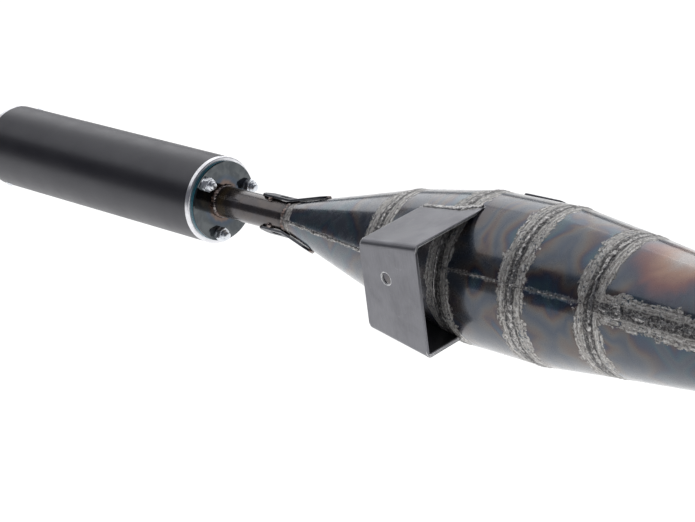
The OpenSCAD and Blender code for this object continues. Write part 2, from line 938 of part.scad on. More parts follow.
silencer_sleeve();
front_bung();
end_plate_gasket();
inlet_end_plate();
end_plate_studs();
end_plate_washers();
end_plate_nuts();
tail_bung();
tail_bung_rivets();
outlet_tip();
perforated_core();
fibre_packing();
stinger_pipe();
stinger_welds();
baffle_cone();
rear_cone();
belly();
front_cone();
diffuser();
header_cone();
header_bend();
circumferential_welds();
seam_welds();
upper_gusset_strap();
lower_gusset_strap();
gusset_tack_welds();
frame_bracket();
bracket_welds();
side_tab();
header_socket();
header_spring_lugs();
port_flange();
seal_rings();
flange_spring_lugs();
upper_spring();
lower_spring();
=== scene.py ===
"""Looks for a two-stroke racing exhaust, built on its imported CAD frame.

Lengths are in metres, in the row frame: +X runs along the silencer to its tail, +Z is up.
"""

import json
import math

import bmesh
import bpy
import numpy as np
from mathutils import Matrix, Vector, noise

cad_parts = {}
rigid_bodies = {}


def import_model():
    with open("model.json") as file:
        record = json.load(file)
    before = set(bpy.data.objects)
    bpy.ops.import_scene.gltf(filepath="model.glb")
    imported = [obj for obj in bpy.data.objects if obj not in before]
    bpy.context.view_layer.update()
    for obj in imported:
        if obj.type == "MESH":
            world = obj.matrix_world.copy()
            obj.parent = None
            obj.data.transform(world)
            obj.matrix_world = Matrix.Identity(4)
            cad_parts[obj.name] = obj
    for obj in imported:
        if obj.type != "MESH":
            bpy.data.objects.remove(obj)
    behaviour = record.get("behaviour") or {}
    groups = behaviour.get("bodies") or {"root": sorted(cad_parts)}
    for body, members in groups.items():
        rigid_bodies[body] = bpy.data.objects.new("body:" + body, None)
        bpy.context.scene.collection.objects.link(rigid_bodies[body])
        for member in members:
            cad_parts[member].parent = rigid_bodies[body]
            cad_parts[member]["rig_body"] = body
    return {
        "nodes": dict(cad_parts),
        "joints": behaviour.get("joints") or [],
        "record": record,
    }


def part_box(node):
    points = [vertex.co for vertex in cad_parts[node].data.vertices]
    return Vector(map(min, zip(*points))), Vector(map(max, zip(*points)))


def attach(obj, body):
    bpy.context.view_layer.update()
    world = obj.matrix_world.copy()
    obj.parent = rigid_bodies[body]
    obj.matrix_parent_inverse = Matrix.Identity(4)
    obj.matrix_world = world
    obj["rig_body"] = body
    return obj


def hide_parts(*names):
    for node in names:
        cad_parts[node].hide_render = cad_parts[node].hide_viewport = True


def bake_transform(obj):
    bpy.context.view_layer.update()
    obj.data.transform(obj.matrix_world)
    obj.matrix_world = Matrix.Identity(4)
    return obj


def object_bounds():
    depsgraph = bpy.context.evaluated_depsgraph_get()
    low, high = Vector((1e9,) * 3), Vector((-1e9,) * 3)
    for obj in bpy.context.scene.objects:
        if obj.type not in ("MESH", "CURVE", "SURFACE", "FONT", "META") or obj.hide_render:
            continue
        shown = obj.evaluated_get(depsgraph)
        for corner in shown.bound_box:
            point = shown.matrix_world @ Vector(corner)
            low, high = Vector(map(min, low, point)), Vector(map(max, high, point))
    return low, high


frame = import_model()
cad_low, cad_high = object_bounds()
MM = 0.001


# ---------- places read from the frame ----------


def islands(node):
    """The separate solids of a CAD node, each as an array of its points."""
    mesh = bmesh.new()
    mesh.from_mesh(frame["nodes"][node].data)
    bmesh.ops.remove_doubles(mesh, verts=mesh.verts, dist=1e-6)
    seen, found = set(), []
    for first in mesh.verts:
        if first in seen:
            continue
        seen.add(first)
        stack, points = [first], []
        while stack:
            vert = stack.pop()
            points.append(vert.co[:])
            for edge in vert.link_edges:
                other = edge.other_vert(vert)
                if other not in seen:
                    seen.add(other)
                    stack.append(other)
        found.append(np.array(points))
    mesh.free()
    return found


def spread(points):
    """Centre of a solid's box in its own axes, and those axes from the longest to the shortest."""
    mean = points.mean(0)
    _, _, axes = np.linalg.svd(points - mean, full_matrices=False)
    local = (points - mean) @ axes.T
    centre = mean + (local.min(0) + local.max(0)) / 2 @ axes
    return Vector(centre), [Vector(a) for a in axes]


class Ring:
    """A ring weld's circle: where it is, which way its axis points (forwards), and its radius."""

    def __init__(self, points):
        self.centre, axes = spread(points)
        self.axis = axes[2] if axes[2].x < 0 else -axes[2]
        away = points - np.array(self.centre)
        along = away @ np.array(self.axis)
        radii = np.linalg.norm(away - np.outer(along, np.array(self.axis)), axis=1)
        self.radius = (radii.min() + radii.max()) / 2


class Line:
    """A straight seam: its middle, its direction (forwards) and its length."""

    def __init__(self, points):
        self.centre, axes = spread(points)
        self.axis = axes[0] if axes[0].x < 0 else -axes[0]
        along = (points - np.array(self.centre)) @ np.array(self.axis)
        self.length = along.max() - along.min()
        self.start = self.centre - self.axis * (self.length / 2)
        self.end = self.centre + self.axis * (self.length / 2)


def forwards(things):
    """The things in order from the silencer to the port."""
    return sorted(things, key=lambda thing: -thing.centre.x)


chamber_rings = forwards(Ring(points) for points in islands("circumferential_welds"))
plate_ring, stinger_ring = forwards(Ring(points) for points in islands("stinger_welds"))
rings = [stinger_ring] + chamber_rings
seams = forwards(Line(points) for points in islands("seam_welds"))
diffuser_seam = seams[4]
thin_seams = [seam for seam in seams if seam is not diffuser_seam]
tacks = [spread(points)[0] for points in islands("gusset_tack_welds")]

sleeve_low, sleeve_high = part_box("silencer_sleeve")
silencer_middle = (sleeve_low + sleeve_high) / 2
joint = frame["joints"][0]
slip_place = Vector(joint["pos_m"])
slip_axis = Vector(joint["axis"]).normalized()
mounts = {mount["name"]: mount for mount in frame["record"]["mounts"]}


def side_of(axis, towards):
    """The direction square to an axis that is nearest to another direction."""
    return (towards - axis * towards.dot(axis)).normalized()


# ---------- materials ----------


class Paint:
    """A material under construction. Each method adds a node and returns its output."""

    def __init__(self, name):
        self.data = bpy.data.materials.new(name)
        self.data.use_nodes = True
        self.tree = self.data.node_tree
        self.shader = self.tree.nodes["Principled BSDF"]
        self.place = self.node("ShaderNodeTexCoord").outputs["Object"]

    def node(self, kind, **settings):
        made = self.tree.nodes.new(kind)
        for key, value in settings.items():
            setattr(made, key, value)
        return made

    def put(self, socket, value):
        if isinstance(value, bpy.types.NodeSocket):
            self.tree.links.new(value, socket)
        elif socket.type == "RGBA":
            socket.default_value = (*value, 1.0)
        else:
            socket.default_value = value

    def math(self, operation, a, b=0.0, c=0.0):
        made = self.node("ShaderNodeMath", operation=operation)
        for socket, value in zip(made.inputs, (a, b, c)):
            self.put(socket, value)
        return made.outputs[0]

    def vector(self, operation, a, b=(0, 0, 0), scale=1.0):
        made = self.node("ShaderNodeVectorMath", operation=operation)
        self.put(made.inputs[0], a)
        self.put(made.inputs[1], b)
        self.put(made.inputs[3], scale)
        return made.outputs["Value" if operation in ("DOT_PRODUCT", "LENGTH") else "Vector"]

    def noise(self, scale, detail=3.0, roughness=0.5, distortion=0.0, place=None):
        made = self.node("ShaderNodeTexNoise")
        self.put(made.inputs["Vector"], place or self.place)
        self.put(made.inputs["Scale"], scale)
        self.put(made.inputs["Detail"], detail)
        self.put(made.inputs["Roughness"], roughness)
        self.put(made.inputs["Distortion"], distortion)
        return made.outputs["Fac"]

    def stretch(self, scales, place=None):
        return self.vector("MULTIPLY", place or self.place, scales)

    def step(self, value, low, high, from_value=0.0, to_value=1.0):
        """Turns smoothly from one value to another as value goes from low to high."""
        made = self.node("ShaderNodeMapRange", interpolation_type="SMOOTHSTEP")
        for socket, number in zip(made.inputs, (value, low, high, from_value, to_value)):
            self.put(socket, number)
        return made.outputs["Result"]

    def mix(self, amount, a, b):
        made = self.node("ShaderNodeMix", data_type="RGBA")
        self.put(made.inputs[0], amount)
        self.put(made.inputs[6], a)
        self.put(made.inputs[7], b)
        return made.outputs[2]

    def ramp(self, value, *stops):
        made = self.node("ShaderNodeValToRGB")
        self.put(made.inputs[0], value)
        elements = made.color_ramp.elements
        while len(elements) < len(stops):
            elements.new(0.5)
        for element, (position, colour) in zip(elements, stops):
            element.position = position
            element.color = (*colour, 1.0)
        return made.outputs["Color"]

    def bump(self, height, distance, strength=1.0, normal=None):
        made = self.node("ShaderNodeBump")
        self.put(made.inputs["Height"], height)
        self.put(made.inputs["Distance"], distance)
        self.put(made.inputs["Strength"], strength)
        if normal is not None:
            self.put(made.inputs["Normal"], normal)
        return made.outputs["Normal"]

    def from_axis(self, origin, axis):
        """Distances of a point along an axis and out from it."""
        away = self.vector("SUBTRACT", self.place, tuple(origin))
        along = self.vector("DOT_PRODUCT", away, tuple(axis))
        foot = self.vector("SCALE", tuple(axis), scale=along)
        out = self.vector("LENGTH", self.vector("SUBTRACT", away, foot))
        return along, out

    def finish(self, colour, roughness, metallic=1.0, normal=None, **others):
        settings = {"Base Color": colour, "Roughness": roughness, "Metallic": metallic, **others}
        for name, value in settings.items():
            self.put(self.shader.inputs[name], value)
        if normal is not None:
            self.put(self.shader.inputs["Normal"], normal)
        return self.data


def turned(name, origin, axis, colour, roughness, groove=0.02 * MM, scuff=0.5):
    """Metal cut on a lathe: fine rings round an axis, with a few handling marks."""
    paint = Paint(name)
    along, out = paint.from_axis(origin, axis)
    combine = paint.node("ShaderNodeCombineXYZ")
    paint.put(combine.inputs[0], along)
    paint.put(combine.inputs[1], out)
    lines = paint.noise(9000, 2.0, place=combine.outputs[0])
    marks = paint.noise(260, 5.0, 0.7)
    shade = paint.mix(paint.step(marks, 0.35, 0.75), colour, [c * (1 - 0.35 * scuff) for c in colour])
    rough = paint.step(marks, 0.3, 0.8, roughness, roughness + 0.22 * scuff)
    normal = paint.bump(lines, groove, 0.6)
    return paint.finish(shade, rough, normal=normal)


def plated(name, colour, roughness, tint):
    """Zinc-plated or drawn metal: small cloudy shifts in colour and a pitted skin."""
    paint = Paint(name)
    cloud = paint.noise(420, 4.0, 0.6, 0.5)
    grit = paint.noise(5200, 3.0, 0.7)
    shade = paint.mix(paint.step(cloud, 0.35, 0.7), colour, tint)
    rough = paint.step(grit, 0.3, 0.7, roughness, roughness + 0.12)
    return paint.finish(shade, rough, normal=paint.bump(grit, 0.012 * MM, 0.7))


def sleeve_paint():
    """Satin black coating, with a fine orange-peel skin and faint rubbed patches."""
    paint = Paint("satin_black")
    peel = paint.noise(2600, 2.0)
    rub = paint.noise(35, 4.0, 0.65, 0.4)
    lines = paint.noise(1500, 2.0, place=paint.stretch((0.06, 1, 1)))
    colour = paint.mix(rub, (0.0105, 0.0098, 0.0135), (0.0150, 0.0143, 0.0185))
    satin = paint.step(rub, 0.3, 0.7, 0.34, 0.41)
    rough = paint.math("ADD", satin, paint.step(lines, 0.55, 0.8, 0, 0.05))
    normal = paint.bump(peel, 0.012 * MM, 0.5)
    shine = {"IOR": 1.62, "Specular IOR Level": 0.6, "Specular Tint": (0.92, 0.92, 1.0)}
    return paint.finish(colour, rough, metallic=0.0, normal=normal, **shine)


def near_rings(paint, ring_list):
    """Distance along the pipe from the nearest of the ring welds."""
    nearest = None
    for ring in ring_list:
        away = paint.vector("SUBTRACT", paint.place, tuple(ring.centre))
        gap = paint.math("ABSOLUTE", paint.vector("DOT_PRODUCT", away, tuple(ring.axis)))
        nearest = gap if nearest is None else paint.math("MINIMUM", nearest, gap)
    return nearest


def near_line(paint, line, margin=0.0):
    """Distance from a straight seam, with a point past its ends counted from the end."""
    away = paint.vector("SUBTRACT", paint.place, tuple(line.centre))
    along = paint.vector("DOT_PRODUCT", away, tuple(line.axis))
    half = line.length / 2 + margin
    held = paint.math("MINIMUM", paint.math("MAXIMUM", along, -half), half)
    foot = paint.vector("SCALE", tuple(line.axis), scale=held)
    return paint.vector("LENGTH", paint.vector("SUBTRACT", away, foot))


def smallest(paint, values):
    """The least of several values at each point."""
    least = values[0]
    for value in values[1:]:
        least = paint.math("MINIMUM", least, value)
    return least


# Tints of heated steel, from the coolest fringe to the hottest
HEAT_COLOURS = (
    (0.00, (0.054, 0.070, 0.100)),
    (0.13, (0.078, 0.088, 0.108)),
    (0.25, (0.106, 0.102, 0.104)),
    (0.36, (0.114, 0.088, 0.078)),
    (0.45, (0.078, 0.058, 0.066)),
    (0.53, (0.044, 0.048, 0.080)),
    (0.62, (0.034, 0.064, 0.106)),
    (0.72, (0.046, 0.090, 0.114)),
    (0.84, (0.074, 0.092, 0.112)),
    (1.00, (0.062, 0.074, 0.102)),
)
# Colours of the spot from its middle outwards: a painted highlight in the pale middle, then red and
# blue heat tints
SPOT_HIGHLIGHT_AND_HEAT_COLOURS = (
    (0.00, (0.42, 0.41, 0.42)),
    (0.30, (0.34, 0.30, 0.28)),
    (0.48, (0.30, 0.17, 0.12)),
    (0.62, (0.17, 0.075, 0.070)),
    (0.76, (0.050, 0.050, 0.085)),
    (0.90, (0.050, 0.080, 0.110)),
)
SPOT_AHEAD = 46 * MM
SPOT_TURN = math.radians(-4)


def diffuser_place(ahead, turn):
    """A point on the diffuser's skin, ahead of its rear weld and turned from the top."""
    rear, front = chamber_rings[3], chamber_rings[4]
    length = (front.centre - rear.centre).length
    axis = (front.centre - rear.centre) / length
    top = side_of(axis, Vector((0, 0, 1)))
    out = top * math.cos(turn) + axis.cross(top) * math.sin(turn)
    radius = rear.radius + (front.radius - rear.radius) * ahead / length
    return rear.centre + axis * ahead + out * radius


def highlight_and_heat_spot(paint, tint):
    """A patch on top of the diffuser: a painted highlight in its pale middle, with a red then blue
    heat tint round it.
    """
    middle = diffuser_place(SPOT_AHEAD, SPOT_TURN)
    gap = paint.vector("LENGTH", paint.vector("SUBTRACT", paint.place, tuple(middle)))
    gap = paint.math("MULTIPLY_ADD", paint.noise(34, 2.0, 0.5, 0.8), 26 * MM, gap)
    highlight_and_heat_colour = paint.ramp(paint.math("MULTIPLY", gap, 16.0), *SPOT_HIGHLIGHT_AND_HEAT_COLOURS)
    return paint.mix(paint.step(gap, 40 * MM, 58 * MM, 0.9, 0.0), tint, highlight_and_heat_colour)


def heat_value(paint, ring_gap, seam_gap):
    """How far the steel was heated, as fringes beside the welds that swirl between them."""
    warp = paint.noise(13, 1.5, 0.45, 0.3)
    swirl = paint.noise(27, 2.0, 0.45, 1.1)
    bent_ring = paint.math("MULTIPLY_ADD", warp, 26 * MM, ring_gap)
    bent_seam = paint.math("MULTIPLY_ADD", warp, 30 * MM, seam_gap)
    ring_wave = paint.math("MULTIPLY", bent_ring, 27.0)
    seam_wave = paint.math("MULTIPLY", paint.step(bent_seam, 8 * MM, 46 * MM, 1.0, 0.0), 0.9)
    heat = paint.math("ADD", ring_wave, seam_wave)
    heat = paint.math("ADD", heat, paint.math("MULTIPLY", swirl, 1.7))
    return paint.math("PINGPONG", heat, 1.0)


def ground_bands(paint, ring_gap, wide_seam, narrow_seams, ragged, streaky):
    """Where the steel is ground bare: bands along the welds, with torn outer edges."""
    torn = paint.math("MULTIPLY_ADD", ragged, 11 * MM, paint.math("MULTIPLY", streaky, 10 * MM))
    ring_reach = paint.math("SUBTRACT", ring_gap, torn)
    ring_band = paint.step(ring_reach, 0.4 * MM, 1.2 * MM, 1.0, 0.0)
    seam_reach = paint.math("SUBTRACT", wide_seam, paint.math("MULTIPLY", torn, 0.95))
    seam_band = paint.step(seam_reach, 0.2 * MM, 1.0 * MM, 1.0, 0.0)
    thin_reach = paint.math("MULTIPLY_ADD", ragged, -7 * MM, narrow_seams)
    thin_band = paint.step(thin_reach, -2.6 * MM, -1.6 * MM, 0.35, 0.0)
    return paint.math("MAXIMUM", paint.math("MAXIMUM", ring_band, seam_band), thin_band)


def grinding_lines(paint, weld_gap, ragged, streaky):
    """Uneven lines that run along the welds."""
    combine = paint.node("ShaderNodeCombineXYZ")
    paint.put(combine.inputs[0], paint.math("MULTIPLY_ADD", ragged, 3 * MM, weld_gap))
    paint.put(combine.inputs[1], paint.math("MULTIPLY", streaky, 0.02))
    return paint.noise(620, 5.0, 0.68, 0.25, place=combine.outputs[0])


def ground_colour(paint, lines):
    """Bright ground steel with dark lines and specks of dirt."""
    grinding = paint.ramp(
        lines,
        (0.37, (0.070, 0.066, 0.062)),
        (0.45, (0.370, 0.352, 0.330)),
        (0.55, (0.600, 0.580, 0.555)),
        (0.66, (0.920, 0.910, 0.895)),
    )
    dirt = paint.step(paint.noise(700, 4.0, 0.7), 0.5, 0.66)
    return paint.mix(paint.math("MULTIPLY", dirt, 0.3), grinding, (0.13, 0.125, 0.12))


def weld_scale(paint, near, ragged):
    """How much dark mottled scale there is beside each bead."""
    reach = paint.math("MULTIPLY_ADD", ragged, 3 * MM, near)
    zone = paint.step(reach, 4.6 * MM, 6.2 * MM, 1.0, 0.0)
    spots = paint.step(paint.noise(520, 4.0, 0.7, 0.5), 0.40, 0.54, 0.35, 1.0)
    return paint.math("MULTIPLY", zone, paint.math("MULTIPLY", spots, 0.92))


def chamber_skin(paint, lines, pits, worked):
    """Slight dents and a fine grain all over, with cuts and pits where the steel was worked."""
    dents = paint.noise(26, 2.0, 0.5)
    skin = paint.bump(dents, 0.5 * MM, 0.35)
    skin = paint.bump(paint.noise(1900, 4.0, 0.7), 0.006 * MM, 0.5, normal=skin)
    cuts = paint.math("MULTIPLY", paint.math("MULTIPLY_ADD", pits, 0.9, lines), worked)
    return paint.bump(cuts, 0.34 * MM, 0.85, normal=skin)


def chamber_paint():
    """Heat-tinted sheet under clear lacquer, ground grey beside its welds, with a painted highlight
    on top of the diffuser.
    """
    paint = Paint("heat_tinted_sheet_and_highlight")
    ring_gap = near_rings(paint, rings)
    wide_seam = near_line(paint, diffuser_seam, 4 * MM)
    narrow_seams = smallest(paint, [near_line(paint, seam) for seam in thin_seams])

    heat = heat_value(paint, ring_gap, paint.math("MINIMUM", wide_seam, narrow_seams))
    tint = paint.ramp(heat, *HEAT_COLOURS)
    soot = paint.noise(11, 3.0, 0.6, 0.5)
    tint = paint.mix(paint.step(soot, 0.40, 0.68, 0.0, 0.7), tint, (0.054, 0.062, 0.082))
    # Painted highlight: the diffuser's spot is pale in the middle, with real heat tint round it
    tint = highlight_and_heat_spot(paint, tint)

    ragged = paint.noise(150, 5.0, 0.66, 0.8)
    streaky = paint.noise(75, 3.0, 0.6, 0.5)
    pits = paint.noise(420, 5.0, 0.72, 0.4)
    bare = ground_bands(paint, ring_gap, wide_seam, narrow_seams, ragged, streaky)
    bare = paint.math("MULTIPLY", bare, paint.step(pits, 0.36, 0.47, 0.0, 0.92))
    weld_gap = paint.math("MINIMUM", ring_gap, wide_seam)
    lines = grinding_lines(paint, weld_gap, ragged, streaky)
    colour = paint.mix(bare, tint, ground_colour(paint, lines))

    near = paint.math("MINIMUM", weld_gap, paint.math("ADD", narrow_seams, 3.4 * MM))
    scale = weld_scale(paint, near, ragged)
    colour = paint.mix(scale, colour, (0.040, 0.038, 0.040))

    wipe = paint.noise(120, 4.0, 0.6, 0.4)
    rough = paint.mix(bare, paint.step(wipe, 0.3, 0.7, 0.20, 0.31), (0.52, 0.52, 0.52))
    worked = paint.math("MAXIMUM", bare, scale)
    skin = chamber_skin(paint, lines, pits, worked)
    coat = paint.step(worked, 0.0, 1.0, 0.65, 0.12)
    lacquer = {"Coat Weight": coat, "Coat Roughness": 0.10, "Coat IOR": 1.5}
    return paint.finish(colour, rough, 0.66, skin, **lacquer)


def weld_paint(name, bright, dark, tint, tint_amount):
    """Weld metal: bright crests, dark scale in the hollows and a heat tint in patches."""
    paint = Paint(name)
    grain = paint.noise(1300, 5.0, 0.7)
    patch = paint.noise(300, 3.0, 0.6, 0.5)
    shade = paint.ramp(grain, (0.34, dark), (0.5, bright), (0.72, [min(1, 1.35 * c) for c in bright]))
    shade = paint.mix(paint.step(patch, 0.42, 0.62, 0.0, tint_amount), shade, tint)
    rough = paint.step(grain, 0.3, 0.7, 0.5, 0.22)
    return paint.finish(shade, rough, normal=paint.bump(grain, 0.12 * MM, 0.8))


def stinger_paint():
    """Drawn tube under lacquer: dark brown, with a gold stain where it is welded to the plate."""
    paint = Paint("lacquered_tube")
    plate_gap = near_rings(paint, [plate_ring])
    cone_gap = near_rings(paint, [stinger_ring])
    swirl = paint.noise(60, 3.0, 0.55, 0.8)
    shade = paint.ramp(
        swirl,
        (0.25, (0.110, 0.104, 0.116)),
        (0.45, (0.085, 0.074, 0.074)),
        (0.60, (0.112, 0.092, 0.084)),
        (0.80, (0.100, 0.100, 0.114)),
    )
    blot = paint.noise(150, 4.0, 0.6, 0.6)
    stain = paint.math("MULTIPLY_ADD", blot, -14 * MM, plate_gap)
    shade = paint.mix(paint.step(stain, 0.0, 7 * MM, 0.8, 0.0), shade, (0.20, 0.14, 0.075))
    burnt = paint.math("MULTIPLY_ADD", blot, -6 * MM, plate_gap)
    shade = paint.mix(paint.step(burnt, -1 * MM, 2.5 * MM, 0.85, 0.0), shade, (0.05, 0.05, 0.065))
    scale = paint.math("MULTIPLY_ADD", blot, -8 * MM, cone_gap)
    shade = paint.mix(paint.step(scale, -1 * MM, 3 * MM, 0.85, 0.0), shade, (0.055, 0.05, 0.05))
    draw = paint.noise(2500, 3.0, place=paint.stretch((0.05, 1, 1)))
    grit = paint.noise(900, 4.0, 0.7)
    skin = paint.bump(draw, 0.004 * MM, 0.5)
    skin = paint.bump(grit, 0.006 * MM, 0.5, normal=skin)
    rough = paint.step(blot, 0.3, 0.7, 0.18, 0.28)
    return paint.finish(
        shade, rough, 0.7, skin, **{"Coat Weight": 0.5, "Coat Roughness": 0.14, "Coat IOR": 1.5}
    )


def plate_paint():
    """Dark mirror-polished steel, tinted by heat round the stinger, with fine wiping marks."""
    paint = Paint("polished_plate")
    _, out = paint.from_axis(plate_ring.centre, plate_ring.axis)
    blot = paint.noise(110, 4.0, 0.6, 0.5)
    colour = paint.mix(paint.step(blot, 0.35, 0.7), (0.080, 0.088, 0.094), (0.125, 0.135, 0.14))
    stain = paint.math("MULTIPLY_ADD", blot, -9 * MM, out)
    colour = paint.mix(paint.step(stain, 9.5 * MM, 15 * MM, 0.55, 0.0), colour, (0.19, 0.115, 0.085))
    blue = paint.math("MULTIPLY_ADD", blot, -6 * MM, out)
    ring = paint.math(
        "MULTIPLY", paint.step(blue, 12 * MM, 15 * MM), paint.step(blue, 15 * MM, 20 * MM, 1.0, 0.0)
    )
    colour = paint.mix(paint.math("MULTIPLY", ring, 0.55), colour, (0.06, 0.085, 0.125))
    wipes = paint.noise(1700, 3.0, 0.6, 0.3, place=paint.stretch((1, 1, 0.12)))
    polish = paint.step(blot, 0.3, 0.75, 0.055, 0.13)
    rough = paint.math("ADD", polish, paint.step(wipes, 0.6, 0.8, 0, 0.08))
    skin = paint.bump(blot, 0.05 * MM, 0.35)
    skin = paint.bump(wipes, 0.006 * MM, 0.5, normal=skin)
    return paint.finish(colour, rough, normal=skin)


def plate_steel(name, colour, bright, grain_along, roughness=0.34):
    """Flat mill-finish steel: grain along one axis, dull patches, a few long scratches."""
    paint = Paint(name)
    scales = [0.05 if i == grain_along else 1 for i in range(3)]
    grain = paint.noise(2100, 4.0, 0.6, place=paint.stretch(scales))
    patch = paint.noise(45, 4.0, 0.6, 0.5)
    crossed = [0.2 if scale == 1 else 1 for scale in scales]
    scratch = paint.noise(800, 2.0, 0.5, 1.5, place=paint.stretch(crossed))
    shade = paint.mix(paint.step(grain, 0.25, 0.75), colour, bright)
    shade = paint.mix(paint.step(patch, 0.4, 0.75, 0.0, 0.35), shade, [c * 0.75 for c in colour])
    cut = paint.step(scratch, 0.70, 0.73)
    shade = paint.mix(paint.math("MULTIPLY", cut, 0.4), shade, [min(1, c * 1.5) for c in bright])
    rough = paint.step(patch, 0.3, 0.75, roughness, roughness + 0.1)
    skin = paint.bump(grain, 0.012 * MM, 0.7)
    return paint.finish(shade, rough, normal=skin)


def plain(name, colour, other, roughness, metallic=0.0, scale=700, depth=0.05 * MM, **others):
    """Any other surface: two shades in fine grain, with a matching skin."""
    paint = Paint(name)
    grain = paint.noise(scale, 5.0, 0.65)
    cloud = paint.noise(scale / 12, 3.0, 0.6)
    amount = paint.math("MULTIPLY_ADD", cloud, 0.5, paint.math("MULTIPLY", grain, 0.5))
    shade = paint.mix(paint.step(amount, 0.35, 0.65), colour, other)
    rough = paint.step(grain, 0.3, 0.7, roughness, min(1, roughness + 0.1))
    return paint.finish(shade, rough, metallic, paint.bump(grain, depth, 0.8), **others)


def wool_paint():
    """Packed glass wool: tangled fibres."""
    paint = Paint("glass_wool")
    warp = paint.noise(240, 3.0, 0.6, 2.0)
    fibre = paint.noise(2400, 4.0, 0.7, 1.5, place=paint.stretch((0.25, 1, 1)))
    shade = paint.mix(paint.math("MULTIPLY", warp, fibre), (0.66, 0.58, 0.36), (0.93, 0.90, 0.78))
    return paint.finish(shade, 0.85, 0.0, paint.bump(fibre, 0.5 * MM, 0.9))


def header_paint():
    """Header pipe: browned by heat, straw to blue along its length, under lacquer."""
    paint = Paint("browned_pipe")
    swirl = paint.noise(28, 3.0, 0.55, 1.0)
    away = paint.vector("SUBTRACT", paint.place, tuple(slip_place))
    along = paint.vector("DOT_PRODUCT", away, tuple(slip_axis))
    heat = paint.math("MULTIPLY_ADD", along, 4.2, 0.75)
    heat = paint.math("ADD", heat, paint.math("MULTIPLY_ADD", swirl, 0.9, -0.45))
    heat = paint.math("PINGPONG", heat, 1.0)
    shade = paint.ramp(heat, *HEAT_COLOURS)
    shade = paint.mix(0.45, shade, (0.30, 0.20, 0.14))
    grit = paint.noise(1500, 4.0, 0.7)
    rough = paint.step(swirl, 0.3, 0.7, 0.22, 0.34)
    skin = paint.bump(grit, 0.015 * MM, 0.6)
    return paint.finish(
        shade, rough, normal=skin, **{"Coat Weight": 0.7, "Coat Roughness": 0.1, "Coat IOR": 1.5}
    )


# ---------- meshes ----------


def piece(name, verts, faces, material, body, replaces=(), smooth_angle=35):
    """Makes an object from points and faces, hides the CAD nodes it replaces, and attaches it to its
    body if one is given.
    """
    mesh = bpy.data.meshes.new(name)
    mesh.from_pydata([tuple(v) for v in verts], [], faces)
    mesh.validate()
    made = bpy.data.objects.new(name, mesh)
    bpy.context.scene.collection.objects.link(made)
    mesh.materials.append(material)
    finish_piece(made, replaces, smooth_angle)
    if body:
        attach(made, body)
    return made


def finish_piece(made, replaces, smooth_angle):
    """Faces a mesh outwards, shades it, and hides the CAD nodes it replaces."""
    shade = bmesh.new()
    shade.from_mesh(made.data)
    bmesh.ops.recalc_face_normals(shade, faces=shade.faces)
    shade.to_mesh(made.data)
    shade.free()
    made.data.shade_smooth()
    made.data.set_sharp_from_angle(angle=math.radians(smooth_angle))
    if replaces:
        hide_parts(*replaces)


def grid_faces(rows, columns, close_rows=False, close_columns=False, start=0):
    """Faces of a grid of points, which may close on itself either way."""
    faces = []
    for i in range(rows if close_rows else rows - 1):
        for j in range(columns if close_columns else columns - 1):
            a = start + i * columns + j
            b = start + i * columns + (j + 1) % columns
            c = start + ((i + 1) % rows) * columns + (j + 1) % columns
            d = start + ((i + 1) % rows) * columns + j
            faces.append((a, b, c, d))
    return faces


def unevenness(point, scale, depth, octaves=4):
    """Fractal roughness at a point, from -depth to depth."""
    return depth * noise.fractal(point * scale, 0.6, 2.1, octaves)


class Bead:
    """Collects weld beads as one mesh: low ridges of solidified ripples laid along paths."""

    sides = 13

    def __init__(self):
        self.verts = []
        self.faces = []

    def lay(self, path, outs, width, height, closed=False, pitch=1.5 * MM, seed=0.0, ragged=1.0):
        """path holds points on the surface and outs the surface's outward directions there."""
        count = len(path)
        first = len(self.verts)
        travelled = 0.0
        for i, (point, out) in enumerate(zip(path, outs)):
            before = path[i - 1] if i or closed else path[i]
            after = path[(i + 1) % count] if i < count - 1 or closed else path[i]
            ahead = (after - before).normalized()
            across = ahead.cross(out).normalized()
            travelled += (path[i] - path[i - 1]).length if i else 0.0
            shift = Vector((seed, 7 * seed, -3 * seed))
            wander = unevenness(point + shift, 90, 0.5 * MM * ragged, 3)
            swell = 1 + unevenness(point - shift, 160, 0.28 * ragged, 3)
            taper = 1.0
            if not closed:
                edge = min(i, count - 1 - i) / 3
                taper = math.sqrt(min(1.0, max(edge, 0.02)))
            for k in range(self.sides):
                u = 2 * k / (self.sides - 1) - 1
                crest = max(0.0, 1 - u * u) ** 0.62
                phase = (travelled / pitch + 0.45 * u * u) % 1.0
                ripple = 0.72 + 0.28 * math.sin(math.pi * phase)
                lift = height * swell * taper * crest * ripple - 0.28 * MM
                spot = point + across * (u * width / 2 * swell * taper + wander) + out * lift
                spot += out * unevenness(spot + shift, 520, 0.24 * MM * ragged, 4) * crest
                self.verts.append(spot)
        self.faces += grid_faces(count, self.sides, close_rows=closed, start=first)

    def piece(self, name, material, body, slot, replaces):
        return piece(name, self.verts, self.faces, material, body, replaces, 60)


def circle_path(centre, axis, radius, step):
    """Points round a circle and the outward direction at each."""
    first = side_of(axis, Vector((0, 0, 1)))
    second = axis.cross(first)
    count = round(2 * math.pi * radius / step)
    outs = [
        first * math.cos(2 * math.pi * i / count) + second * math.sin(2 * math.pi * i / count)
        for i in range(count)
    ]
    return [centre + out * radius for out in outs], outs


def line_path(start, end, step):
    """Evenly spaced points from start to end."""
    count = max(4, round((end - start).length / step))
    return [start.lerp(end, i / count) for i in range(count + 1)]


def chamber_axis_at(point):
    """The nearest point of the chamber's centreline, and its direction there."""
    best = None
    centres = [plate_ring.centre] + [ring.centre for ring in rings]
    for a, b in zip(centres, centres[1:]):
        along = (b - a).normalized()
        t = min(max((point - a).dot(along), 0), (b - a).length)
        foot = a + along * t
        if best is None or (point - foot).length < (point - best[0]).length:
            best = (foot, along)
    return best


def outward(point):
    """The direction straight out of the chamber at a point."""
    foot, along = chamber_axis_at(point)
    return side_of(along, point - foot)


